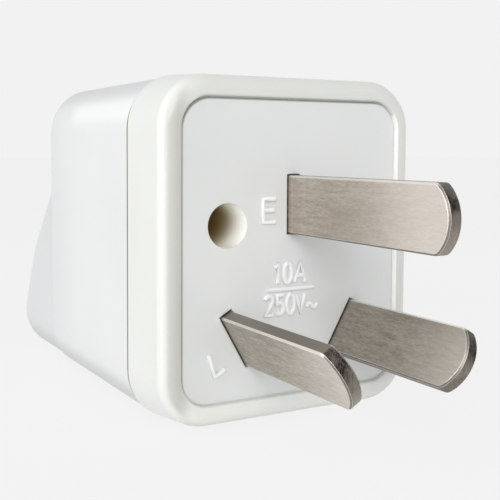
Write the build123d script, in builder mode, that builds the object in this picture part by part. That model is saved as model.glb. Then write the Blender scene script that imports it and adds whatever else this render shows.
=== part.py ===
"""Plug adapter: three flat pins on the front, a three-hole socket on the back.

Millimetres. +Z is up, the pins point along -Y, +X is to the right when facing the pins.
The origin is the centre of the footprint, at the level of the flat underside.
Depths are measured backwards from the surface of the pin plate, heights from the
middle of that plate.
"""
import os

from build123d import *

# Housing
BODY_WIDTH = 32.2
BODY_HEIGHT = 38.4
BODY_CORNER = 6.0
PLATE_RISE = 0.4
FRONT_DRAFT = 0.8
FRONT_CORNER = 5.4
FRAME_PROUD = 0.15
RIM_WIDTH = 2.2
RIM_PROUD = 0.55
RIM_ROUNDING = 1.7
RIM_EDGE = 0.25
PARTING_DEPTH = 8.2
PARTING_BEVEL = 0.2
CASING_DEPTH = 35.0
CASING_WALL = 1.8
BACK_WALL = 2.2

# Joint between frame, plate and casing
LEDGE_WIDTH = 1.2
LEDGE_THICKNESS = 2.0
SPIGOT_LENGTH = 3.0
SPIGOT_WALL = 1.2
SPIGOT_ROOT = 2.0

# Pin plate
PLATE_THICKNESS = 2.6
PLATE_CORNER = 3.3
PIN_BOSS_DEPTH = 6.0
PIN_BOSS_WALL = 1.2
SLOT_BEVEL = 0.08

# Flat pins
PIN_WIDTH = 6.35
PIN_THICKNESS = 1.5
EARTH_LENGTH = 24.4
POLE_LENGTH = 19.4
EARTH_HEIGHT = 4.7
POLE_SPACING = 13.72
POLE_HEIGHT = -9.45
POLE_ANGLE = 30.0
TIP_ARC = 1.6
TIP_CORNER = 0.9
PIN_BEVEL = 0.18
ROOT_WIDTH = 7.6
ROOT_START = 1.6
TAIL_WIDTH = 3.0
TAIL_HEAD_WIDTH = 3.8
TAIL_HEAD_THICKNESS = 2.4
TAIL_HEAD_HEIGHT = 0.6

# Straps and clips
SHEET = 0.7
STRAP_WIDTH = 3.4
POLE_LEG_OFFSET = 2.3
POLE_STRAP_REACH = 2.3
EARTH_LEG_OFFSET = 4.0
EARTH_STRAP_REACH = 1.6
STRAP_MARGIN = 2.2
CLIP_BASE_HALF = 2.1
CLIP_GRIP_HALF = 1.65
CLIP_MOUTH_HALF = 2.4
CLIP_GRIP_BACK = 7.6
CLIP_MOUTH_BACK = 4.0
POLE_CLIP_DEPTH = 29.5
EARTH_CLIP_DEPTH = 24.5
RIVET_SHANK = 1.8
RIVET_HEAD = 3.0
RIVET_HEAD_HEIGHT = 0.6

# Socket
BOSS_DEPTH = 49.6
BOSS_WALL = 1.4
BOSS_EDGE = 0.8
BOSS_OUTLINE = ((1.043, 0.0), (0.888, 0.404), (0.674, 0.676), (0.366, 0.956))
BOSS_SIDE_BENDS = (40.0, 60.0)
BOSS_BOTTOM_CORNER = 6.0
BOSS_TOP_CORNER = 4.2
SOCKET_POLE_INSET = 5.0
SOCKET_POLE_ABOVE = 6.6
SOCKET_EARTH_BELOW = 9.6
POLE_HOLE_WIDTH = 6.6
POLE_HOLE_HEIGHT = 4.7
EARTH_HOLE_WIDTH = 4.9
EARTH_HOLE_HEIGHT = 8.7
HOLE_BEVEL = 0.3
POLE_RELIEF = 3.35

# Carrier
CARRIER_INSET = 2.3
CARRIER_POLE_FLOOR = 1.8
CARRIER_EARTH_FLOOR = 1.3
CARRIER_EARTH_WIDTH = 9.2
CARRIER_END_GAP = 0.2
POCKET_HALF = 3.7
POCKET_REACH = 3.4
POCKET_CLEARANCE = 0.25
EARTH_ROOM_DEPTH = 2.0
EARTH_ROOM_HALF = 4.35

# Case screws
SCREW_INSET = 5.63
SCREW_HEIGHT = 2.64
SCREW_HOLE = 4.8
SCREW_TUBE = 7.4
SCREW_SEAT = 10.5
SCREW_TUBE_DEPTH = 12.0
SCREW_HEAD = 4.4
SCREW_HEAD_HEIGHT = 1.7
SCREW_SHANK = 2.9
SCREW_PASSAGE = 3.2
SCREW_END = 22.0
SCREW_RECESS_WIDTH = 0.6
SCREW_RECESS_LENGTH = 2.4
SCREW_RECESS_DEPTH = 0.9
PILLAR = 6.0
PILLAR_END = 25.5
PILLAR_WEB = 1.8
PILLAR_WEB_REACH = 4.9

# Clearances
FIT_GAP = 0.12
PIN_GAP = 0.1
SEAT_GAP = 0.05
CUT_OVERRUN = 1.0

# Derived
FACE_Y = (EARTH_LENGTH - BOSS_DEPTH) / 2
MIDDLE_Z = BODY_HEIGHT / 2 + PLATE_RISE
CASING_MIDDLE = -PLATE_RISE
CASING_TOP = BODY_HEIGHT / 2 - PLATE_RISE
UNDERSIDE = -MIDDLE_Z
FRONT_HEIGHT = BODY_HEIGHT - 2 * FRONT_DRAFT
FRAME_TOP = CASING_TOP + FRAME_PROUD
PLATE_WIDTH = BODY_WIDTH - 2 * RIM_WIDTH
PLATE_HEIGHT = FRONT_HEIGHT - 2 * RIM_WIDTH
POLE_X = POLE_SPACING / 2
SCREW_X = PLATE_WIDTH / 2 - SCREW_INSET
SOCKET_POLE_X = BODY_WIDTH / 2 - SOCKET_POLE_INSET
SOCKET_POLE_HEIGHT = UNDERSIDE + SOCKET_POLE_ABOVE
SOCKET_EARTH_HEIGHT = CASING_TOP - SOCKET_EARTH_BELOW
CAVITY_END = CASING_DEPTH - BACK_WALL
SOCKET_FLOOR = BOSS_DEPTH - BACK_WALL
LEDGE_END = PLATE_THICKNESS + LEDGE_THICKNESS
POLE_LEG = SOCKET_POLE_X - POLE_LEG_OFFSET
EARTH_LEG = SOCKET_EARTH_HEIGHT + EARTH_LEG_OFFSET
CLIP_GRIP_DEPTH = BOSS_DEPTH - CLIP_GRIP_BACK
CLIP_MOUTH_DEPTH = BOSS_DEPTH - CLIP_MOUTH_BACK
CARRIER_FRONT = POLE_CLIP_DEPTH - SHEET - CARRIER_POLE_FLOOR
CARRIER_EARTH_FRONT = EARTH_CLIP_DEPTH - SHEET - CARRIER_EARTH_FLOOR
CARRIER_END = SOCKET_FLOOR - CARRIER_END_GAP
POCKET_INNER = SOCKET_POLE_X - POCKET_REACH
RIVET_ROOM = RIVET_HEAD + 2 * POCKET_CLEARANCE
POLE_HOLE_SPAN = (SOCKET_POLE_HEIGHT - POLE_HOLE_HEIGHT / 2,
                  SOCKET_POLE_HEIGHT + POLE_HOLE_HEIGHT / 2)
EARTH = (0, EARTH_HEIGHT, 0)
LINE = (-POLE_X, POLE_HEIGHT, -POLE_ANGLE)
NEUTRAL = (POLE_X, POLE_HEIGHT, POLE_ANGLE)


def facing(depth):
    """Plane parallel to the face, seen from the pins, at a depth."""
    origin = (0, FACE_Y + depth, MIDDLE_Z)
    return Plane(origin=origin, x_dir=(1, 0, 0), z_dir=(0, -1, 0))


def rounded_block(width, tall, corner, start, end, mode=Mode.ADD, middle=0.0):
    """Block with rounded long edges about a height."""
    with BuildSketch(facing(start)) as outline:
        with Locations((0, middle)):
            RectangleRounded(width, tall, corner)
    extrude(outline.sketch, amount=start - end, mode=mode)


def frame_block():
    """Body of the front frame, widening from its front to the parting line."""
    width = BODY_WIDTH + 2 * FRAME_PROUD
    tall = FRAME_TOP - UNDERSIDE
    middle = (FRAME_TOP + UNDERSIDE) / 2
    with BuildSketch(facing(-RIM_PROUD)) as front:
        RectangleRounded(BODY_WIDTH, FRONT_HEIGHT, FRONT_CORNER)
    sections = [front.sketch]
    for inset in (0.0, PARTING_BEVEL):
        with BuildSketch(facing(PARTING_DEPTH - PARTING_BEVEL + inset)) as section:
            with Locations((0, middle)):
                RectangleRounded(width - 2 * inset, tall - 2 * inset, BODY_CORNER - inset)
        sections.append(section.sketch)
    loft(sections, ruled=True)


def box(x, height, start, end, mode=Mode.ADD):
    """Block between two x values, two heights and two depths."""
    size = (x[1] - x[0], end - start, height[1] - height[0])
    centre = ((x[0] + x[1]) / 2, FACE_Y + (start + end) / 2,
              MIDDLE_Z + (height[0] + height[1]) / 2)
    with Locations(centre):
        Box(*size, mode=mode)


def disc(x, height, diameter, start, end, mode=Mode.ADD):
    """Cylinder along the depth direction."""
    with BuildSketch(facing(start)) as outline:
        with Locations((x, height)):
            Circle(diameter / 2)
    extrude(outline.sketch, amount=start - end, mode=mode)


def boss_block(inset, start, end, mode=Mode.ADD):
    """Block with the outline of the boss: flat underneath and narrowing upwards."""
    right = [(x * BODY_WIDTH / 2, UNDERSIDE + z * BODY_HEIGHT) for x, z in BOSS_OUTLINE]
    left = [(-x, z) for x, z in reversed(right)]
    with BuildSketch(facing(start)) as outline:
        with BuildLine():
            Polyline(*right, *left, close=True)
        make_face()
        for point, bend in zip(right[1:3], BOSS_SIDE_BENDS):
            pair = [v for v in outline.vertices() if abs(v.Y - point[1]) < 0.01]
            fillet(pair, bend)
        fillet(outline.vertices().group_by(Axis.Y)[0], BOSS_BOTTOM_CORNER)
        fillet(outline.vertices().group_by(Axis.Y)[-1], BOSS_TOP_CORNER)
        if inset:
            offset(amount=-inset, mode=Mode.REPLACE)
    extrude(outline.sketch, amount=start - end, mode=mode)


def blade_plane(x, height, angle, depth=0.0):
    """Plane in the middle of a blade: local x across it, local y towards its tip."""
    across = Vector(0, 0, 1).rotate(Axis.Y, angle)
    normal = Vector(1, 0, 0).rotate(Axis.Y, angle)
    origin = (x, FACE_Y + depth, MIDDLE_Z + height)
    return Plane(origin=origin, x_dir=across, z_dir=normal)


def section_block(place, width, thickness, start, end, mode=Mode.ADD):
    """Block along the depth with the section of a blade at (x, height, angle)."""
    x, height, angle = place
    across = Vector(0, 0, 1).rotate(Axis.Y, angle)
    origin = (x, FACE_Y + start, MIDDLE_Z + height)
    with BuildSketch(Plane(origin=origin, x_dir=across, z_dir=(0, -1, 0))) as section:
        Rectangle(width, thickness)
    extrude(section.sketch, amount=start - end, mode=mode)


def blade(place, length):
    """Flat pin with a rounded, bevelled tip, a wide root and a peened tail."""
    x, height, angle = place
    plane = blade_plane(x, height, angle)
    half = PIN_WIDTH / 2
    start = -(ROOT_START + CUT_OVERRUN)
    shoulder = length - TIP_ARC
    with BuildSketch(plane) as outline:
        with BuildLine():
            Line((half, start), (half, shoulder))
            ThreePointArc((half, shoulder), (0, length), (-half, shoulder))
            Line((-half, shoulder), (-half, start))
            Line((-half, start), (half, start))
        make_face()
        fillet(outline.vertices().group_by(Axis.Y)[-1], TIP_CORNER)
    extrude(outline.sketch, amount=PIN_THICKNESS / 2, both=True)
    sides = faces().sort_by(Axis(plane.origin, plane.z_dir))
    chamfer(sides[0].edges() + sides[-1].edges(), PIN_BEVEL)
    tail_end = PIN_BOSS_DEPTH + SHEET
    section_block(place, ROOT_WIDTH, PIN_THICKNESS, ROOT_START, PIN_BOSS_DEPTH)
    section_block(place, TAIL_WIDTH, PIN_THICKNESS, PIN_BOSS_DEPTH, tail_end)
    section_block(place, TAIL_HEAD_WIDTH, TAIL_HEAD_THICKNESS, tail_end,
                  tail_end + TAIL_HEAD_HEIGHT)


def pin_boss(place):
    """Block behind the plate that surrounds the root of a pin."""
    section_block(place, ROOT_WIDTH + 2 * PIN_BOSS_WALL, PIN_THICKNESS + 2 * PIN_BOSS_WALL,
                  PLATE_THICKNESS, PIN_BOSS_DEPTH)


def pin_slot(place):
    """Bevelled slot for a blade, with the pocket for its root behind."""
    x, height, angle = place
    section_block(place, PIN_WIDTH + 2 * PIN_GAP, PIN_THICKNESS + 2 * PIN_GAP,
                  0, PIN_BOSS_DEPTH, Mode.SUBTRACT)
    section_block(place, ROOT_WIDTH + 2 * PIN_GAP, PIN_THICKNESS + 2 * PIN_GAP,
                  ROOT_START, PIN_BOSS_DEPTH, Mode.SUBTRACT)
    across = Vector(0, 0, 1).rotate(Axis.Y, angle)
    origin = (x, FACE_Y, MIDDLE_Z + height)
    margin = PIN_GAP + SLOT_BEVEL
    with BuildSketch(Plane(origin=origin, x_dir=across, z_dir=(0, -1, 0))) as mouth:
        Rectangle(PIN_WIDTH + 2 * margin, PIN_THICKNESS + 2 * margin)
    extrude(mouth.sketch, amount=-SLOT_BEVEL, taper=44, mode=Mode.SUBTRACT)


def tail_slot(place):
    """Slot in a strap for the peened tail of a pin."""
    section_block(place, TAIL_WIDTH, PIN_THICKNESS, PIN_BOSS_DEPTH,
                  PIN_BOSS_DEPTH + SHEET, Mode.SUBTRACT)


def pole_strap(side):
    """Bent strip from a lower pin back to its clip."""
    def span(inner, outer):
        return sorted((side * inner, side * outer))
    heights = (SOCKET_POLE_HEIGHT - STRAP_WIDTH / 2, SOCKET_POLE_HEIGHT + STRAP_WIDTH / 2)
    box(span(POLE_X - STRAP_MARGIN, POLE_LEG + SHEET),
        (heights[0], POLE_HEIGHT + STRAP_MARGIN), PIN_BOSS_DEPTH, PIN_BOSS_DEPTH + SHEET)
    box(span(POLE_LEG, POLE_LEG + SHEET), heights, PIN_BOSS_DEPTH, POLE_CLIP_DEPTH)
    box(span(POLE_LEG, SOCKET_POLE_X + POLE_STRAP_REACH), heights,
        POLE_CLIP_DEPTH - SHEET, POLE_CLIP_DEPTH)
    tail_slot(LINE if side < 0 else NEUTRAL)
    disc(side * SOCKET_POLE_X, SOCKET_POLE_HEIGHT, RIVET_SHANK,
         POLE_CLIP_DEPTH - SHEET, POLE_CLIP_DEPTH, Mode.SUBTRACT)


def clip(plane, base_depth, width):
    """Sprung two-leaf contact, drawn in a plane with local x along the depth."""
    top = [
        (base_depth + SHEET, CLIP_BASE_HALF),
        (CLIP_GRIP_DEPTH, CLIP_GRIP_HALF),
        (CLIP_MOUTH_DEPTH, CLIP_MOUTH_HALF),
        (CLIP_MOUTH_DEPTH, CLIP_MOUTH_HALF + SHEET),
        (CLIP_GRIP_DEPTH, CLIP_GRIP_HALF + SHEET),
        (base_depth + 2 * SHEET, CLIP_BASE_HALF + SHEET),
        (base_depth, CLIP_BASE_HALF),
    ]
    bottom = [(x, -y) for x, y in reversed(top)]
    with BuildSketch(plane) as profile:
        with BuildLine():
            Polyline(*top, *bottom, close=True)
        make_face()
    extrude(profile.sketch, amount=width / 2, both=True)


def rivet(x, height, depth):
    """Rivet through a strap and the clip lying on it, with two flat heads."""
    front = depth - SHEET
    back = depth + SHEET
    disc(x, height, RIVET_HEAD, front - RIVET_HEAD_HEIGHT, front)
    disc(x, height, RIVET_SHANK, front, back)
    disc(x, height, RIVET_HEAD, back, back + RIVET_HEAD_HEIGHT)


def case_screw(x):
    """Pan-head screw with a cross recess, driven from the face."""
    top = SCREW_SEAT - SCREW_HEAD_HEIGHT
    disc(x, SCREW_HEIGHT, SCREW_HEAD, top, SCREW_SEAT)
    rim = faces().sort_by(Axis.Y)[0].edges()
    fillet(rim, SCREW_HEAD_HEIGHT / 3)
    disc(x, SCREW_HEIGHT, SCREW_SHANK, SCREW_SEAT, SCREW_END)
    chamfer(faces().sort_by(Axis.Y)[-1].edges(), SCREW_SHANK / 4)
    with BuildSketch(facing(top)) as recess:
        with Locations((x, SCREW_HEIGHT)):
            Rectangle(SCREW_RECESS_LENGTH, SCREW_RECESS_WIDTH)
            Rectangle(SCREW_RECESS_WIDTH, SCREW_RECESS_LENGTH)
    extrude(recess.sketch, amount=-SCREW_RECESS_DEPTH, mode=Mode.SUBTRACT)


def screw_pillar(side):
    """Pillar for a case screw, joined to the side wall and the back wall by a web."""
    start = SCREW_TUBE_DEPTH + SEAT_GAP
    wall = BODY_WIDTH / 2 - CASING_WALL / 2
    web = (SCREW_HEIGHT - PILLAR_WEB / 2, SCREW_HEIGHT + PILLAR_WEB / 2)
    disc(side * SCREW_X, SCREW_HEIGHT, PILLAR, start, PILLAR_END)
    box(sorted((side * SCREW_X, side * wall)), web, start, PILLAR_END)
    box(sorted((side * (wall - PILLAR_WEB_REACH), side * wall)), web, PILLAR_END,
        CASING_DEPTH - BACK_WALL / 2)
    disc(side * SCREW_X, SCREW_HEIGHT, SCREW_SHANK, start, SCREW_END + CUT_OVERRUN,
         Mode.SUBTRACT)


def pole_pocket(side):
    """Pocket in the carrier for a lower clip, with the openings for strap and rivet."""
    floor = POLE_CLIP_DEPTH - SHEET
    half = STRAP_WIDTH / 2 + POCKET_CLEARANCE
    leg = (POLE_LEG - POCKET_CLEARANCE, POLE_LEG + SHEET + POCKET_CLEARANCE)
    box(sorted((side * POCKET_INNER, side * BODY_WIDTH / 2)),
        (SOCKET_POLE_HEIGHT - POCKET_HALF, SOCKET_POLE_HEIGHT + POCKET_HALF),
        floor, CARRIER_END, Mode.SUBTRACT)
    disc(side * SOCKET_POLE_X, SOCKET_POLE_HEIGHT, RIVET_ROOM, CARRIER_FRONT, floor,
         Mode.SUBTRACT)
    box(sorted(side * value for value in leg),
        (SOCKET_POLE_HEIGHT - half, SOCKET_POLE_HEIGHT + half),
        CARRIER_FRONT, floor, Mode.SUBTRACT)


def socket_hole(x, height, width, tall):
    """Rectangular aperture in the socket face with a bevelled mouth."""
    box((x - width / 2, x + width / 2), (height - tall / 2, height + tall / 2),
        SOCKET_FLOOR - CUT_OVERRUN, BOSS_DEPTH, Mode.SUBTRACT)
    plane = Plane(origin=(x, FACE_Y + BOSS_DEPTH, MIDDLE_Z + height),
                  x_dir=(-1, 0, 0), z_dir=(0, 1, 0))
    with BuildSketch(plane) as mouth:
        Rectangle(width + 2 * HOLE_BEVEL, tall + 2 * HOLE_BEVEL)
    extrude(mouth.sketch, amount=-HOLE_BEVEL, taper=44, mode=Mode.SUBTRACT)


# Front ring with its rounded rim and the ledge behind the plate
with BuildPart() as front_frame:
    frame_block()
    fillet(front_frame.faces().sort_by(Axis.Y)[0].edges(), RIM_ROUNDING)
    rounded_block(PLATE_WIDTH, PLATE_HEIGHT, PLATE_CORNER, -RIM_PROUD, PLATE_THICKNESS,
                  Mode.SUBTRACT)
    rim = front_frame.faces().sort_by(Axis.Y)[0]
    fillet(rim.inner_wires().edges(), RIM_EDGE)
    rounded_block(PLATE_WIDTH - 2 * LEDGE_WIDTH, PLATE_HEIGHT - 2 * LEDGE_WIDTH,
                  PLATE_CORNER - LEDGE_WIDTH, PLATE_THICKNESS, LEDGE_END, Mode.SUBTRACT)
    rounded_block(PLATE_WIDTH, PLATE_HEIGHT, PLATE_CORNER, LEDGE_END, PARTING_DEPTH,
                  Mode.SUBTRACT)

# Recessed plate with the pin slots and the two deep screw holes
with BuildPart() as pin_plate:
    rounded_block(PLATE_WIDTH - 2 * FIT_GAP, PLATE_HEIGHT - 2 * FIT_GAP,
                  PLATE_CORNER - FIT_GAP, 0, PLATE_THICKNESS)
    for x in (-SCREW_X, SCREW_X):
        disc(x, SCREW_HEIGHT, SCREW_TUBE, PLATE_THICKNESS, SCREW_TUBE_DEPTH)
    for place in (EARTH, LINE, NEUTRAL):
        pin_boss(place)
    for x in (-SCREW_X, SCREW_X):
        disc(x, SCREW_HEIGHT, SCREW_HOLE, 0, SCREW_SEAT, Mode.SUBTRACT)
        disc(x, SCREW_HEIGHT, SCREW_PASSAGE, SCREW_SEAT, SCREW_TUBE_DEPTH, Mode.SUBTRACT)
    for place in (EARTH, LINE, NEUTRAL):
        pin_slot(place)

# Rear shell with the socket boss, the spigot and the screw pillars
with BuildPart() as rear_casing:
    rounded_block(BODY_WIDTH, BODY_HEIGHT, BODY_CORNER, PARTING_DEPTH, CASING_DEPTH,
                  middle=CASING_MIDDLE)
    chamfer(rear_casing.faces().sort_by(Axis.Y)[0].edges(), PARTING_BEVEL)
    boss_block(0, CASING_DEPTH, BOSS_DEPTH)
    fillet(rear_casing.faces().sort_by(Axis.Y)[-1].edges(), BOSS_EDGE)
    spigot_width = PLATE_WIDTH - 2 * FIT_GAP
    spigot_height = PLATE_HEIGHT - 2 * FIT_GAP
    spigot_start = PARTING_DEPTH - SPIGOT_LENGTH
    spigot_end = PARTING_DEPTH + SPIGOT_ROOT
    rounded_block(spigot_width, spigot_height, PLATE_CORNER - FIT_GAP, spigot_start,
                  PARTING_DEPTH)
    rounded_block(spigot_width - 2 * SPIGOT_WALL, spigot_height - 2 * SPIGOT_WALL,
                  PLATE_CORNER - SPIGOT_WALL, spigot_start, spigot_end, Mode.SUBTRACT)
    rounded_block(BODY_WIDTH - 2 * CASING_WALL, BODY_HEIGHT - 2 * CASING_WALL,
                  BODY_CORNER - CASING_WALL, spigot_end, CAVITY_END, Mode.SUBTRACT,
                  CASING_MIDDLE)
    boss_block(BOSS_WALL, CAVITY_END, SOCKET_FLOOR, Mode.SUBTRACT)
    for side in (-1, 1):
        relief = sorted((side * POCKET_INNER, side * (SOCKET_POLE_X + POLE_RELIEF)))
        box(relief, POLE_HOLE_SPAN, CAVITY_END, SOCKET_FLOOR, Mode.SUBTRACT)
        socket_hole(side * SOCKET_POLE_X, SOCKET_POLE_HEIGHT, POLE_HOLE_WIDTH,
                    POLE_HOLE_HEIGHT)
        screw_pillar(side)
    socket_hole(0, SOCKET_EARTH_HEIGHT, EARTH_HOLE_WIDTH, EARTH_HOLE_HEIGHT)

# Flat pins
with BuildPart() as earth_pin:
    blade(EARTH, EARTH_LENGTH)

with BuildPart() as line_pin:
    blade(LINE, POLE_LENGTH)

with BuildPart() as neutral_pin:
    blade(NEUTRAL, POLE_LENGTH)

# Straps from the pins to the clips
with BuildPart() as line_strap:
    pole_strap(-1)

with BuildPart() as neutral_strap:
    pole_strap(1)

with BuildPart() as earth_strap:
    across = (-STRAP_WIDTH / 2, STRAP_WIDTH / 2)
    box(across, (EARTH_HEIGHT - STRAP_MARGIN, EARTH_LEG + SHEET), PIN_BOSS_DEPTH,
        PIN_BOSS_DEPTH + SHEET)
    box(across, (EARTH_LEG, EARTH_LEG + SHEET), PIN_BOSS_DEPTH, EARTH_CLIP_DEPTH)
    strap_end = SOCKET_EARTH_HEIGHT - EARTH_STRAP_REACH
    box(across, (strap_end, EARTH_LEG + SHEET), EARTH_CLIP_DEPTH - SHEET, EARTH_CLIP_DEPTH)
    tail_slot(EARTH)
    disc(0, SOCKET_EARTH_HEIGHT, RIVET_SHANK, EARTH_CLIP_DEPTH - SHEET, EARTH_CLIP_DEPTH,
         Mode.SUBTRACT)

# Sprung clips behind the apertures
with BuildPart() as line_clip:
    clip(Plane(origin=(-SOCKET_POLE_X, FACE_Y, MIDDLE_Z + SOCKET_POLE_HEIGHT),
               x_dir=(0, 1, 0), z_dir=(1, 0, 0)), POLE_CLIP_DEPTH, STRAP_WIDTH)
    disc(-SOCKET_POLE_X, SOCKET_POLE_HEIGHT, RIVET_SHANK, POLE_CLIP_DEPTH,
         POLE_CLIP_DEPTH + SHEET, Mode.SUBTRACT)

with BuildPart() as neutral_clip:
    clip(Plane(origin=(SOCKET_POLE_X, FACE_Y, MIDDLE_Z + SOCKET_POLE_HEIGHT),
               x_dir=(0, 1, 0), z_dir=(1, 0, 0)), POLE_CLIP_DEPTH, STRAP_WIDTH)
    disc(SOCKET_POLE_X, SOCKET_POLE_HEIGHT, RIVET_SHANK, POLE_CLIP_DEPTH,
         POLE_CLIP_DEPTH + SHEET, Mode.SUBTRACT)

with BuildPart() as earth_clip:
    clip(Plane(origin=(0, FACE_Y, MIDDLE_Z + SOCKET_EARTH_HEIGHT),
               x_dir=(0, 1, 0), z_dir=(0, 0, 1)), EARTH_CLIP_DEPTH, STRAP_WIDTH)
    disc(0, SOCKET_EARTH_HEIGHT, RIVET_SHANK, EARTH_CLIP_DEPTH,
         EARTH_CLIP_DEPTH + SHEET, Mode.SUBTRACT)

# Rivets
with BuildPart() as line_rivet:
    rivet(-SOCKET_POLE_X, SOCKET_POLE_HEIGHT, POLE_CLIP_DEPTH)

with BuildPart() as neutral_rivet:
    rivet(SOCKET_POLE_X, SOCKET_POLE_HEIGHT, POLE_CLIP_DEPTH)

with BuildPart() as earth_rivet:
    rivet(0, SOCKET_EARTH_HEIGHT, EARTH_CLIP_DEPTH)

# Insulating block around the clips
with BuildPart() as contact_carrier:
    boss_block(CARRIER_INSET, CARRIER_FRONT, CARRIER_END)
    room_bottom = SOCKET_EARTH_HEIGHT - EARTH_ROOM_HALF
    box((-CARRIER_EARTH_WIDTH / 2, CARRIER_EARTH_WIDTH / 2),
        (SOCKET_EARTH_HEIGHT - EARTH_STRAP_REACH - 2 * SHEET, EARTH_LEG + 3 * SHEET),
        CARRIER_EARTH_FRONT, CARRIER_FRONT)
    pole_pocket(-1)
    pole_pocket(1)
    floor = EARTH_CLIP_DEPTH - SHEET
    leg_top = EARTH_LEG + SHEET + POCKET_CLEARANCE
    slot_half = STRAP_WIDTH / 2 + POCKET_CLEARANCE
    box((-POCKET_HALF, POCKET_HALF), (strap_end - POCKET_CLEARANCE, leg_top),
        floor, CARRIER_END, Mode.SUBTRACT)
    box((-POCKET_HALF, POCKET_HALF), (room_bottom, leg_top),
        EARTH_CLIP_DEPTH + EARTH_ROOM_DEPTH, CARRIER_END, Mode.SUBTRACT)
    disc(0, SOCKET_EARTH_HEIGHT, RIVET_ROOM, CARRIER_EARTH_FRONT, floor, Mode.SUBTRACT)
    box((-slot_half, slot_half), (EARTH_LEG - POCKET_CLEARANCE, leg_top),
        CARRIER_EARTH_FRONT, floor, Mode.SUBTRACT)

# Case screws
with BuildPart() as screw_left:
    case_screw(-SCREW_X)

with BuildPart() as screw_right:
    case_screw(SCREW_X)


os.makedirs("parts", exist_ok=True)

front_frame.part.label = "front_frame"
export_step(front_frame.part, "parts/front_frame.step")
pin_plate.part.label = "pin_plate"
export_step(pin_plate.part, "parts/pin_plate.step")
rear_casing.part.label = "rear_casing"
export_step(rear_casing.part, "parts/rear_casing.step")
earth_pin.part.label = "earth_pin"
export_step(earth_pin.part, "parts/earth_pin.step")
line_pin.part.label = "line_pin"
export_step(line_pin.part, "parts/line_pin.step")
neutral_pin.part.label = "neutral_pin"
export_step(neutral_pin.part, "parts/neutral_pin.step")
line_strap.part.label = "line_strap"
export_step(line_strap.part, "parts/line_strap.step")
neutral_strap.part.label = "neutral_strap"
export_step(neutral_strap.part, "parts/neutral_strap.step")
earth_strap.part.label = "earth_strap"
export_step(earth_strap.part, "parts/earth_strap.step")
line_clip.part.label = "line_clip"
export_step(line_clip.part, "parts/line_clip.step")
neutral_clip.part.label = "neutral_clip"
export_step(neutral_clip.part, "parts/neutral_clip.step")
earth_clip.part.label = "earth_clip"
export_step(earth_clip.part, "parts/earth_clip.step")
line_rivet.part.label = "line_rivet"
export_step(line_rivet.part, "parts/line_rivet.step")
neutral_rivet.part.label = "neutral_rivet"
export_step(neutral_rivet.part, "parts/neutral_rivet.step")
earth_rivet.part.label = "earth_rivet"
export_step(earth_rivet.part, "parts/earth_rivet.step")
contact_carrier.part.label = "contact_carrier"
export_step(contact_carrier.part, "parts/contact_carrier.step")
screw_left.part.label = "screw_left"
export_step(screw_left.part, "parts/screw_left.step")
screw_right.part.label = "screw_right"
export_step(screw_right.part, "parts/screw_right.step")
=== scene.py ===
"""Travel adapter: its looks, raised marks and thin joints, and the studio round it."""

import math

import bpy
from mathutils import Matrix, Vector


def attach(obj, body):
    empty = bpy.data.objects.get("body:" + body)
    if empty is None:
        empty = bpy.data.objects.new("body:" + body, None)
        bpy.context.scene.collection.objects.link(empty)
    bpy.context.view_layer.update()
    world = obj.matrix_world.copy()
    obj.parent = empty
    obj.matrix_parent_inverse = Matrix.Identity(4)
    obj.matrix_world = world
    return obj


MM = 0.001

# Sizes in mm. Depths are measured behind the plate's face, heights from its middle.
FACE_Y = -12.6
MIDDLE_Z = 19.6
PARTING_DEPTH = 8.2
BODY_WIDTH = 32.2
BODY_HEIGHT = 38.4
BODY_CORNER = 6.0
CASING_MIDDLE = -0.4
PLATE_WIDTH = 27.8
PLATE_HEIGHT = 32.4
PLATE_CORNER = 3.3
SCREW_X = 8.27
SCREW_HEIGHT = 2.64

FRONT = (0, -1, 0)
LEFT = (-1, 0, 0)
UP = (0, 0, 1)

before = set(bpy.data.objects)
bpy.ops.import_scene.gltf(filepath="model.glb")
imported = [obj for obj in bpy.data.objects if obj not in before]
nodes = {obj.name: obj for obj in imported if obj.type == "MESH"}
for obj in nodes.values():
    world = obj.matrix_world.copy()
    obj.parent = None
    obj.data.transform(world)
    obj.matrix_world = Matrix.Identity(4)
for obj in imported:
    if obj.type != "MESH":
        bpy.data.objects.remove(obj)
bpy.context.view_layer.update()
scene = bpy.context.scene


def behind(depth):
    """Place along y at a depth behind the plate's face."""
    return (FACE_Y + depth) * MM


def level(height):
    """Place along z at a height above the plate's middle."""
    return (MIDDLE_Z + height) * MM


def linear(value):
    """Linear value of an sRGB channel from 0 to 255."""
    v = value / 255
    return v / 12.92 if v <= 0.04045 else ((v + 0.055) / 1.055) ** 2.4


def rgb(r, g, b):
    """Linear colour from sRGB channels."""
    return (linear(r), linear(g), linear(b), 1.0)


def add(name, data):
    """New object in the scene."""
    thing = bpy.data.objects.new(name, data)
    scene.collection.objects.link(thing)
    return thing


def smooth(mesh):
    """Shade a mesh as a smooth surface."""
    for face in mesh.polygons:
        face.use_smooth = True


def put(tree, value, socket):
    """Give an input a link from another socket or a plain value."""
    if isinstance(value, bpy.types.NodeSocket):
        tree.links.new(value, socket)
    else:
        socket.default_value = value


def operate(tree, kind, operation, *values):
    """Result of a math or vector math node with links or plain values at its inputs."""
    node = tree.nodes.new(kind)
    node.operation = operation
    for socket, value in zip(node.inputs, values):
        put(tree, value, socket)
    return node.outputs["Value"]


# Materials

NOISE_LOW = 0.3
NOISE_HIGH = 0.7
EDGE_ROUNDING = 0.12 * MM
EDGE_LINE = 0.1 * MM
BEVEL_SAMPLES = 6
STRIP_LINES = (2600, 60, 2600)
EVEN_GRAIN = (900, 900, 900)
BLADE_LINES = (9500, 1500, 9500)
BLADE_LINES_TURN = (math.radians(-20), 0, 0)
STAMPED_LINES = (9000, 9000, 600)


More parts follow.
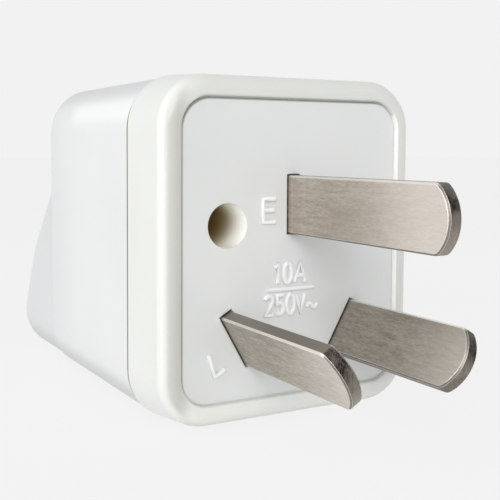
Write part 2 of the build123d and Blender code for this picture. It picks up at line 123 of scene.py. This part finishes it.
class Nodes:
    """Node tree of a material whose base colour is built up in layers."""

    def __init__(self, name, colour):
        self.material = bpy.data.materials.new(name)
        self.material.use_nodes = True
        self.tree = self.material.node_tree
        self.shader = self.tree.nodes["Principled BSDF"]
        texture = self.tree.nodes.new("ShaderNodeTexCoord").outputs
        self.coords, self.normal = texture["Object"], texture["Normal"]
        self.tint = colour

    def surface(self, values):
        """Give inputs of the surface shader links or plain values."""
        for key, value in values.items():
            put(self.tree, value, self.shader.inputs[key])

    def layer(self, amount, colour):
        """Lay a colour over the base colour, by an amount from 0 to 1."""
        self.tint = self.mix(amount, self.tint, colour)
        self.surface({"Base Color": self.tint})

    def scaled(self, scale, turn=(0, 0, 0)):
        """Place on the object, scaled and turned."""
        node = self.tree.nodes.new("ShaderNodeMapping")
        node.inputs["Scale"].default_value = scale
        node.inputs["Rotation"].default_value = turn
        self.tree.links.new(self.coords, node.inputs["Vector"])
        return node.outputs["Vector"]

    def axis(self, letter):
        """Place along one axis, in metres."""
        node = self.tree.nodes.new("ShaderNodeSeparateXYZ")
        self.tree.links.new(self.coords, node.inputs["Vector"])
        return node.outputs[letter]

    def noise(self, scale, detail=2, roughness=0.5, vector=None):
        """Noise from 0 to 1, even over the object or along a scaled place."""
        node = self.tree.nodes.new("ShaderNodeTexNoise")
        node.inputs["Scale"].default_value = scale
        node.inputs["Detail"].default_value = detail
        node.inputs["Roughness"].default_value = roughness
        self.tree.links.new(vector or self.coords, node.inputs["Vector"])
        return node.outputs["Fac"]

    def span(self, value, low, high, to_low, to_high, eased=False):
        """Value mapped from one range to another and held at its ends."""
        node = self.tree.nodes.new("ShaderNodeMapRange")
        node.interpolation_type = "SMOOTHSTEP" if eased else "LINEAR"
        self.tree.links.new(value, node.inputs["Value"])
        for key, number in zip(("From Min", "From Max", "To Min", "To Max"),
                               (low, high, to_low, to_high)):
            node.inputs[key].default_value = number
        return node.outputs["Result"]

    def ramp(self, value, start, end, top=1.0):
        """Straight rise from 0 at the start to the top at the end."""
        return self.span(value, start, end, 0.0, top)

    def ease(self, value, start, end, top=1.0):
        """Smooth rise from 0 at the start to the top at the end."""
        return self.span(value, start, end, 0.0, top, eased=True)

    def band(self, value, start, full, ebb, end):
        """Smooth rise to 1 and smooth fall back to 0."""
        return self.times(self.ease(value, start, full), self.ease(value, end, ebb))

    def math(self, operation, *values):
        return operate(self.tree, "ShaderNodeMath", operation, *values)

    def times(self, product, *values):
        for value in values:
            product = self.math("MULTIPLY", product, value)
        return product

    def distance(self, across, above):
        """Length of a way given by its two parts."""
        squares = self.math("ADD", self.times(across, across), self.times(above, above))
        return self.math("SQRT", squares)

    def dot(self, a, b):
        return operate(self.tree, "ShaderNodeVectorMath", "DOT_PRODUCT", a, b)

    def facing(self, direction):
        """Cosine of the angle between the surface's normal and a direction."""
        return self.dot(self.normal, direction)

    def mix(self, factor, a, b):
        """Colour between two others."""
        node = self.tree.nodes.new("ShaderNodeMix")
        node.data_type = "RGBA"
        for key, value in (("Factor", factor), ("A", a), ("B", b)):
            put(self.tree, value, node.inputs[key])
        return node.outputs["Result"]

    def edges(self, radius):
        """Normal rounded off at edges."""
        node = self.tree.nodes.new("ShaderNodeBevel")
        node.samples = BEVEL_SAMPLES
        node.inputs["Radius"].default_value = radius
        return node.outputs["Normal"]

    def bump(self, height, strength, distance):
        """Normal of a fine relief, rounded off at edges."""
        node = self.tree.nodes.new("ShaderNodeBump")
        node.inputs["Strength"].default_value = strength
        node.inputs["Distance"].default_value = distance
        self.tree.links.new(height, node.inputs["Height"])
        self.tree.links.new(self.edges(EDGE_ROUNDING), node.inputs["Normal"])
        return node.outputs["Normal"]


def plastic(name, colour, shade, roughness, coat=0.0):
    """Moulded plastic: faint clouding, fine moulding grain and a soft inner glow."""
    m = Nodes(name, colour)
    cloud, wear, grain = m.noise(60), m.noise(150), m.noise(2600)
    m.layer(m.ease(cloud, NOISE_LOW, NOISE_HIGH), shade)
    m.surface({
        "Roughness": m.span(wear, NOISE_LOW, NOISE_HIGH, roughness - 0.01, roughness + 0.02),
        "Normal": m.bump(grain, 0.02, 0.02 * MM),
        "Specular IOR Level": 0.35,
        "Subsurface Weight": 0.12,
        "Subsurface Radius": (1.0, 0.75, 0.5),
        "Subsurface Scale": 0.8 * MM,
        "Coat Weight": coat,
        "Coat Roughness": 0.12,
    })
    return m


def hole_shade(m):
    """Painted light in the two deep screw holes: painted pale mouth, painted warm shade deeper
    in, painted glow on the lit right wall.
    """
    hole_reach, mouth_start, mouth_full = 2.5, 0.02, 0.2
    warm_start, warm_full, lit_end, glow = 0.6, 8, 5, 0.36
    painted_mouth_light, painted_depth_shade = rgb(250, 250, 245), rgb(186, 156, 96)
    y = m.axis("Y")
    across = m.math("SUBTRACT", m.math("ABSOLUTE", m.axis("X")), SCREW_X * MM)
    above = m.math("SUBTRACT", m.axis("Z"), level(SCREW_HEIGHT))
    within = m.math("LESS_THAN", m.distance(across, above), hole_reach * MM)
    inside = m.times(within, m.ramp(y, behind(mouth_start), behind(mouth_full)))
    warm = m.ease(y, behind(warm_start), behind(warm_full))
    # Painted shade: the hole walls are painted pale at the mouth and darker and warmer with
    # depth.
    m.layer(inside, m.mix(warm, painted_mouth_light, painted_depth_shade))
    # Painted glow: the right wall emits light to stand in for the light falling on it.
    right_wall = m.ease(m.facing(LEFT), 0.1, 0.9, top=glow)
    lit = m.times(right_wall, inside, m.ease(y, behind(lit_end), behind(0)))
    m.surface({"Emission Color": rgb(250, 253, 242), "Emission Strength": lit})


def rim_shade(m):
    """Painted shadow of the rim in the step along the left and top sides of the plate."""
    shift, strength, shade = 0.3, 0.8, rgb(128, 127, 120)
    start, full = PLATE_CORNER - 0.12, PLATE_CORNER + 0.1
    beyond = []
    for letter, middle, size in (("X", shift * MM, PLATE_WIDTH),
                                 ("Z", level(-shift), PLATE_HEIGHT)):
        off = m.math("ABSOLUTE", m.math("SUBTRACT", m.axis(letter), middle))
        past = m.math("SUBTRACT", off, (size / 2 - PLATE_CORNER) * MM)
        beyond.append(m.math("MAXIMUM", past, 0.0))
    # Painted shadow: the plate is darkened where the rim would shade it.
    m.layer(m.ease(m.distance(*beyond), start * MM, full * MM, strength), shade)


def casing_painted_light(m):
    """Painted light on the casing: painted shade greyer to the back, on the shoulder and
    underside, and a painted highlight below the shoulder.
    """
    back_start, back_full, lit_full, lit_end = 22, 42, 25, 29
    y = m.axis("Y")
    upward = m.facing(UP)
    back = m.ease(y, behind(back_start), behind(back_full), top=0.8)
    lit = m.times(m.band(upward, 0.03, 0.35, 0.45, 0.7),
                  m.ramp(y, behind(lit_end), behind(lit_full)), 0.65)
    shoulder = m.times(m.ease(upward, 0.5, 0.8, top=0.7),
                       m.span(upward, 1.0, 0.9, 0.25, 1.0, eased=True))
    underside = m.ease(upward, -0.15, -0.6, top=0.9)
    # Painted shade towards the back, painted highlight band below the shoulder, painted shade on
    # the shoulder and underside.
    m.layer(back, rgb(212, 215, 215))
    m.layer(lit, rgb(243, 245, 244))
    m.layer(shoulder, rgb(204, 207, 207))
    m.layer(underside, rgb(200, 203, 203))


def frame_painted_light(m):
    """Painted light on the front frame: painted highlight on the bend and painted shade on the
    front at the left, a painted lighter foot, and a painted highlight on the right step.
    """
    left_start, left_full, right_start, right_full = -12.6, -14.4, 13.3, 13.6
    foot_start, foot_full, glow = -15, -16.5, 0.12
    x = m.axis("X")
    forward = m.facing(FRONT)
    left = m.ease(x, left_start * MM, left_full * MM)
    bend = m.times(left, m.band(forward, 0.1, 0.35, 0.55, 0.75), 0.75)
    foot = m.times(m.ease(m.axis("Z"), level(foot_start), level(foot_full)),
                   m.ease(forward, 0.6, 0.9))
    front = m.times(left, m.ease(forward, 0.68, 0.92))
    step = m.times(m.ramp(x, right_start * MM, right_full * MM),
                   m.ease(m.facing(LEFT), 0.2, 0.6))
    # Painted highlight on the bend, painted lighter foot, painted shade on the left front,
    # painted highlight on the right step.
    m.layer(bend, rgb(236, 237, 232))
    m.layer(foot, rgb(240, 241, 236))
    m.layer(front, rgb(203, 204, 197))
    m.layer(step, rgb(244, 244, 241))
    # Painted glow on the right step, standing in for light.
    m.surface({"Emission Color": rgb(255, 255, 252), "Emission Strength": m.times(step, glow)})


def metal(name, colour, shade, roughness, lines, turn=(0, 0, 0)):
    """Brushed metal: fine and coarse lines and a drifting tone."""
    m = Nodes(name, shade)
    coarse_lines = tuple(scale * 0.25 for scale in lines)
    fine = m.noise(1.0, detail=8, roughness=0.75, vector=m.scaled(lines, turn))
    coarse = m.noise(1.0, detail=3, roughness=0.6, vector=m.scaled(coarse_lines, turn))
    drift = m.noise(140, detail=3)
    tone = m.math("ADD", m.times(fine, 0.6), m.times(coarse, 0.4))
    m.layer(m.ramp(tone, 0.35, 0.65), colour)
    m.layer(m.ramp(drift, NOISE_LOW, NOISE_HIGH, top=0.16), rgb(150, 138, 122))
    m.surface({
        "Roughness": m.span(tone, NOISE_LOW, NOISE_HIGH, roughness + 0.07, roughness - 0.05),
        "Normal": m.bump(tone, 0.2, 0.03 * MM),
        "Metallic": 1.0,
    })
    return m


def edge_lines(m):
    """1 along sharp edges, fading to 0 beside them."""
    flat = m.tree.nodes.new("ShaderNodeNewGeometry").outputs["Normal"]
    return m.ramp(m.dot(m.edges(EDGE_LINE), flat), 0.995, 0.95)


def stamped_end(m, upward):
    """Streaky tone of a blade's dark stamped end, with a painted reflection making it lighter
    where it faces down.
    """
    # Painted reflection: lighter where the end faces down.
    lower = m.ease(upward, 0.25, -0.55)
    lines = m.noise(1.0, detail=3, roughness=0.6, vector=m.scaled(STAMPED_LINES))
    streak = m.ramp(lines, 0.38, 0.62)
    patch = m.ease(m.noise(330), 0.4, 0.6)
    blend = m.math("ADD", m.times(lower, 0.45), m.times(streak, 0.25))
    blend = m.math("ADD", blend, m.times(patch, 0.3))
    return m.mix(blend, rgb(24, 20, 18), rgb(164, 155, 145))


def stamped_sides(m, angle, side):
    """Stamped end, narrow sides and rounded edges of a turned blade, with painted light: painted
    highlight and shade on the rounded edges, painted shade on the narrow sides and bright
    painted highlight lines along the edges.
    """
    turn = math.radians(angle)
    flat = m.math("ABSOLUTE", m.facing((math.cos(turn), 0, -math.sin(turn))))
    upward = m.facing((math.sin(turn), 0, math.cos(turn)))
    forward = m.facing(FRONT)
    # Narrow sides take each blade's painted shade; faces towards the front take the stamped end.
    narrow = m.mix(m.ramp(forward, 0.3, 0.5), side, stamped_end(m, upward))
    # Painted light: rounded edges are painted bright where they face down and dark where they
    # face up or forward.
    rounded = m.mix(m.ramp(upward, -0.3, -0.5), rgb(238, 232, 224), rgb(118, 112, 105))
    rounded = m.mix(m.ramp(forward, 0.2, 0.5), rounded, rgb(116, 109, 101))
    m.layer(m.ramp(flat, 0.93, 0.85, top=0.85), rounded)
    m.layer(m.ramp(flat, 0.6, 0.4), narrow)
    # Painted highlight lines along the sharp edges.
    m.layer(m.times(edge_lines(m), m.ramp(flat, 0.5, 0.65, top=0.95)), rgb(255, 252, 247))


def blade_nickel(name, angle, colour, shade, side):
    """Brushed plating of a blade, with a painted reflection brighter towards the tip."""
    reflection_start, reflection_full, reflection_strength = -9, -22, 0.6
    m = metal(name, colour, shade, 0.4, BLADE_LINES, BLADE_LINES_TURN)
    tip_reflection = m.ease(m.axis("Y"), behind(reflection_start), behind(reflection_full), reflection_strength)
    # Painted reflection: the plating is painted brighter towards the tip.
    m.layer(tip_reflection, rgb(240, 232, 224))
    stamped_sides(m, angle, side)
    return m


ivory = plastic("ivory_plastic", rgb(228, 230, 226), rgb(225, 227, 222), roughness=0.3, coat=0.3)
plate = plastic("white_plastic", rgb(233, 235, 234), rgb(230, 233, 232), roughness=0.4)
casing = plastic("casing_plastic", rgb(226, 229, 228), rgb(223, 226, 225), roughness=0.36)
carrier = plastic("carrier_plastic", rgb(226, 223, 212), rgb(219, 216, 205), roughness=0.5)
# Painted highlight: the raised marks are a lighter copy of the plate's plastic.
marks = plastic("mark_plastic", rgb(255, 255, 254), rgb(253, 253, 252), roughness=0.3, coat=0.2)
seam = plastic("seam_plastic", rgb(140, 128, 92), rgb(132, 120, 84), roughness=0.6)
casing_painted_light(casing)
hole_shade(plate)
frame_painted_light(ivory)
rim_shade(plate)

# Painted light: the three blades share one plating, given lighter and darker copies of its
# colour and painted shade on their narrow sides.
earth_nickel = blade_nickel("earth_nickel", 0, rgb(218, 208, 198), rgb(168, 158, 148),
                            rgb(96, 92, 88))
line_nickel = blade_nickel("line_nickel", -30, rgb(204, 196, 186), rgb(150, 142, 132),
                           rgb(142, 135, 126))
neutral_nickel = blade_nickel("neutral_nickel", 30, rgb(188, 181, 171), rgb(132, 125, 116),
                              rgb(92, 88, 84))
brass = metal("strip_brass", rgb(214, 184, 116), rgb(196, 166, 100), 0.3, STRIP_LINES)
bronze = metal("spring_bronze", rgb(206, 160, 108), rgb(186, 142, 94), 0.3, STRIP_LINES)
rivets = metal("rivet_brass", rgb(216, 190, 128), rgb(200, 172, 110), 0.33, EVEN_GRAIN)
steel = metal("screw_steel", rgb(176, 176, 174), rgb(150, 150, 150), 0.35, EVEN_GRAIN)

looks = {
    "front_frame": ivory, "pin_plate": plate, "rear_casing": casing,
    "contact_carrier": carrier,
    "earth_pin": earth_nickel, "line_pin": line_nickel, "neutral_pin": neutral_nickel,
    "earth_strap": brass, "line_strap": brass, "neutral_strap": brass,
    "earth_clip": bronze, "line_clip": bronze, "neutral_clip": bronze,
    "earth_rivet": rivets, "line_rivet": rivets, "neutral_rivet": rivets,
    "screw_left": steel, "screw_right": steel,
}
for name, look in looks.items():
    data = nodes[name].data
    data.materials.clear()
    data.materials.append(look.material)


# Raised marks on the plate

LETTER_STROKE = 0.29
FIGURE_STROKE = 0.27
BAR_STROKE = 0.22
MARK_RISE = 0.1
MARK_FLATNESS = 0.8


def arc(cx, cz, rx, rz, start, end, steps):
    """Points on an ellipse between two angles in degrees."""
    turns = [math.radians(start + (end - start) * i / steps) for i in range(steps + 1)]
    return [(cx + rx * math.cos(t), cz + rz * math.sin(t)) for t in turns]


def strokes_curve(name, strokes, radius, y):
    """Round rods along the strokes, at one place along y."""
    curve = bpy.data.curves.new(name, "CURVE")
    curve.dimensions = "3D"
    curve.bevel_depth = radius * MM
    curve.bevel_resolution = 3
    curve.use_fill_caps = True
    for points in strokes:
        spline = curve.splines.new("POLY")
        spline.points.add(len(points) - 1)
        for p, (x, z) in zip(spline.points, points):
            p.co = (x * MM, y, level(z), 1)
    return curve


def mark(name, strokes, radius=FIGURE_STROKE):
    """Raised strokes on the plate, round on top and half sunk into it."""
    middle = behind(-MARK_RISE)
    draft = add(name, strokes_curve(name, strokes, radius, middle))
    depsgraph = bpy.context.evaluated_depsgraph_get()
    made = bpy.data.meshes.new_from_object(draft.evaluated_get(depsgraph))
    bpy.data.objects.remove(draft)
    made.name = name
    for vertex in made.vertices:
        vertex.co.y = middle + (vertex.co.y - middle) * MARK_FLATNESS
    smooth(made)
    made.materials.clear()
    made.materials.append(marks.material)
    solid = add(name, made)
    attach(solid, "root")


mark("mark_earth", [
    [(-2.48, 5.33), (-4.02, 5.33), (-4.02, 2.87), (-2.48, 2.87)],
    [(-4.02, 4.13), (-2.66, 4.13)],
], LETTER_STROKE)
mark("mark_line", [[(-10.57, -10.8), (-9.9, -13.18), (-8.64, -12.56)]], LETTER_STROKE)
mark("mark_neutral", [
    [(8.9, -13.1), (9.6, -10.9), (9.75, -13.55), (10.75, -11.3)],
], LETTER_STROKE)
mark("mark_amps", [
    [(-2.52, -2.2), (-2.08, -1.76), (-2.08, -3.86)],
    arc(-0.82, -2.8, 0.5, 1.06, 90, 450, 28),
    [(0.06, -3.86), (0.78, -1.74), (1.5, -3.86)],
    [(0.36, -3.14), (1.2, -3.14)],
])
mark("mark_bar", [[(-3.45, -4.56), (2.65, -4.56)]], BAR_STROKE)
mark("mark_volts", [
    arc(-3.2, -5.76, 0.48, 0.56, 165, -25, 12) + [(-3.7, -7.3), (-2.72, -7.3)],
    [(-1.42, -5.2), (-2.14, -5.2), (-2.22, -6.16)]
    + arc(-1.84, -6.62, 0.48, 0.62, 128, -140, 14),
    arc(-0.44, -6.24, 0.5, 1.06, 90, 450, 28),
    [(0.26, -5.2), (0.86, -7.28), (1.48, -5.2)],
    [(1.74, -6.72), (1.92, -6.42), (2.18, -6.38), (2.42, -6.62), (2.66, -6.86),
     (2.92, -6.78), (3.12, -6.42)],
])


# Thin rings: the mould line and the joint round the plate

CORNERS = ((1, 1, 0), (-1, 1, 90), (-1, -1, 180), (1, -1, 270))


def ring_mesh(name, width, height, corner, middle, rows, steps):
    """Closed ring round a rectangle with rounded corners.

    A row is a depth and an inset from the rectangle, in mm.
    """
    verts, faces = [], []
    for side_x, side_z, start in CORNERS:
        for i in range(steps + 1):
            turn = math.radians(start + 90 * i / steps)
            for depth, inset in rows:
                reach = corner - inset
                x = side_x * (width / 2 - corner) + reach * math.cos(turn)
                z = middle + side_z * (height / 2 - corner) + reach * math.sin(turn)
                verts.append((x * MM, behind(depth), level(z)))
    count, k = len(CORNERS) * (steps + 1), len(rows)
    for i in range(count):
        j = (i + 1) % count
        for a in range(k):
            b = (a + 1) % k
            faces.append((i * k + a, i * k + b, j * k + b, j * k + a))
    mesh = bpy.data.meshes.new(name)
    mesh.from_pydata(verts, [], faces)
    mesh.update()
    return mesh


def mould_line():
    """Thin band in the groove where the front frame meets the rear casing."""
    profile = ((-0.2, 0.2), (-0.1, -0.012), (0.42, -0.012), (0.46, 0.1))
    rows = [(PARTING_DEPTH + depth, inset) for depth, inset in profile]
    mesh = ring_mesh("mould_line", BODY_WIDTH, BODY_HEIGHT, BODY_CORNER, CASING_MIDDLE, rows, 12)
    smooth(mesh)
    mesh.materials.append(seam.material)
    band = add("mould_line", mesh)
    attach(band, "root")


def plate_joint():
    """Thin fill in the gap between the plate and the rim, just below the plate."""
    top, bottom, inner = 0.03, 1.5, 0.13
    rows = ((top, 0.0), (bottom, 0.0), (bottom, inner), (top, inner))
    mesh = ring_mesh("plate_joint", PLATE_WIDTH, PLATE_HEIGHT, PLATE_CORNER, 0.0, rows, 8)
    mesh.materials.append(ivory.material)
    ring = add("plate_joint", mesh)
    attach(ring, "root")


mould_line()
plate_joint()


# Floor and surroundings

BACKDROP = rgb(242, 242, 242)
FLOOR_HALF = 3
FLOOR_GREY = (0.7, 0.7, 0.7, 1)
FLOOR_GLOW = 1.06
GLOW_UNSEEN = 0.45
GLOW_SEEN = 0.88
FILL_LEVEL = 0.7
FILL_SLOPE = (0.0, 0.0, -0.26)
LAMP_AIM = (0, 0, 0.02)


def seen_ray(tree):
    """1 for a ray that shows the surroundings: seen directly, mirrored or through glass."""
    path = tree.nodes.new("ShaderNodeLightPath").outputs
    seen = path["Is Camera Ray"]
    for kind in ("Is Glossy Ray", "Is Transmission Ray"):
        seen = operate(tree, "ShaderNodeMath", "MAXIMUM", seen, path[kind])
    return seen


def shader(tree, kind, **values):
    """Output of a shader node, with some of its inputs linked or set."""
    node = tree.nodes.new(kind)
    for key, value in values.items():
        put(tree, value, node.inputs[key])
    return node.outputs[0]


def show_blend(tree, output, *parts):
    """Send to an output node the mix of two shaders by the factor before them."""
    blend = tree.nodes.new("ShaderNodeMixShader")
    for socket, part in zip(blend.inputs, parts):
        tree.links.new(part, socket)
    tree.links.new(blend.outputs["Shader"], tree.nodes.new(output).inputs["Surface"])


def studio_floor():
    """Floor that glows like the backdrop and still takes soft shadows."""
    look = bpy.data.materials.new("floor_look")
    look.use_nodes = True
    tree = look.node_tree
    tree.nodes.clear()
    share = tree.nodes.new("ShaderNodeMapRange")
    share.inputs["To Min"].default_value = GLOW_UNSEEN
    share.inputs["To Max"].default_value = GLOW_SEEN
    tree.links.new(seen_ray(tree), share.inputs["Value"])
    dull = shader(tree, "ShaderNodeBsdfDiffuse", Color=FLOOR_GREY)
    glow = shader(tree, "ShaderNodeEmission", Color=BACKDROP, Strength=FLOOR_GLOW)
    show_blend(tree, "ShaderNodeOutputMaterial", share.outputs["Result"], dull, glow)

    mesh = bpy.data.meshes.new("floor")
    half = FLOOR_HALF
    mesh.from_pydata([(-half, -half, 0), (half, -half, 0), (half, half, 0), (-half, half, 0)],
                     [], [(0, 1, 2, 3)])
    mesh.materials.append(look)
    floor = add("floor", mesh)


def studio_world():
    """Even surroundings, a little lighter below to balance the lamps."""
    world = bpy.data.worlds.new("studio")
    scene.world = world
    world.use_nodes = True
    tree = world.node_tree
    tree.nodes.clear()
    where = tree.nodes.new("ShaderNodeTexCoord").outputs["Generated"]
    slope = operate(tree, "ShaderNodeVectorMath", "DOT_PRODUCT", where, FILL_SLOPE)
    strength = operate(tree, "ShaderNodeMath", "ADD", slope, FILL_LEVEL)
    fill = shader(tree, "ShaderNodeBackground", Color=(1, 1, 1, 1), Strength=strength)
    seen = shader(tree, "ShaderNodeBackground", Color=BACKDROP, Strength=1.0)
    show_blend(tree, "ShaderNodeOutputWorld", seen_ray(tree), fill, seen)


def lamp(name, place, aim, size, power):
    """Rectangular soft lamp at a place, pointing at another, in metres."""
    data = bpy.data.lights.new(name, "AREA")
    data.shape = "RECTANGLE"
    data.size, data.size_y = size
    data.energy = power
    thing = add(name, data)
    thing.location = place
    ray = Vector(aim) - Vector(place)
    thing.rotation_euler = ray.to_track_quat("-Z", "Y").to_euler()


studio_floor()
studio_world()
lamp("key", (-0.24, -0.42, 0.27), LAMP_AIM, size=(0.3, 0.3), power=1.05)
lamp("side", (-0.27, -0.02, 0.07), LAMP_AIM, size=(0.08, 0.16), power=0.24)


# Camera

IMAGE_SIZE = 500
SENSOR_WIDTH = 36
FOCAL_LENGTH = 854.96
CENTRE_X, CENTRE_Y = 205.0, 200.0
YAW, PITCH, ROLL = -28.0, -3.35, -0.14
CAMERA_X, CAMERA_DEPTH, CAMERA_HEIGHT = -52.38, -77.81, 10.60
CLIP_START, CLIP_END = 0.005, 20


def photo_camera():
    """Camera whose focal length and picture centre are given in pixels."""
    camera = add("camera", bpy.data.cameras.new("camera"))
    scene.camera = camera
    turn = (Matrix.Rotation(math.radians(YAW), 3, "Z")
            @ Matrix.Rotation(math.radians(PITCH), 3, "X")
            @ Matrix.Rotation(math.radians(ROLL), 3, "Y"))
    right, forward, up = turn.col[0], turn.col[1], turn.col[2]
    camera.matrix_world = Matrix((
        (right.x, up.x, -forward.x, CAMERA_X * MM),
        (right.y, up.y, -forward.y, behind(CAMERA_DEPTH)),
        (right.z, up.z, -forward.z, level(CAMERA_HEIGHT)),
        (0, 0, 0, 1)))
    camera.data.sensor_width = SENSOR_WIDTH
    camera.data.lens = FOCAL_LENGTH / IMAGE_SIZE * SENSOR_WIDTH
    camera.data.shift_x = (IMAGE_SIZE / 2 - CENTRE_X) / IMAGE_SIZE
    camera.data.shift_y = (CENTRE_Y - IMAGE_SIZE / 2) / IMAGE_SIZE
    camera.data.clip_start = CLIP_START
    camera.data.clip_end = CLIP_END


photo_camera()

scene.view_settings.view_transform = "Standard"
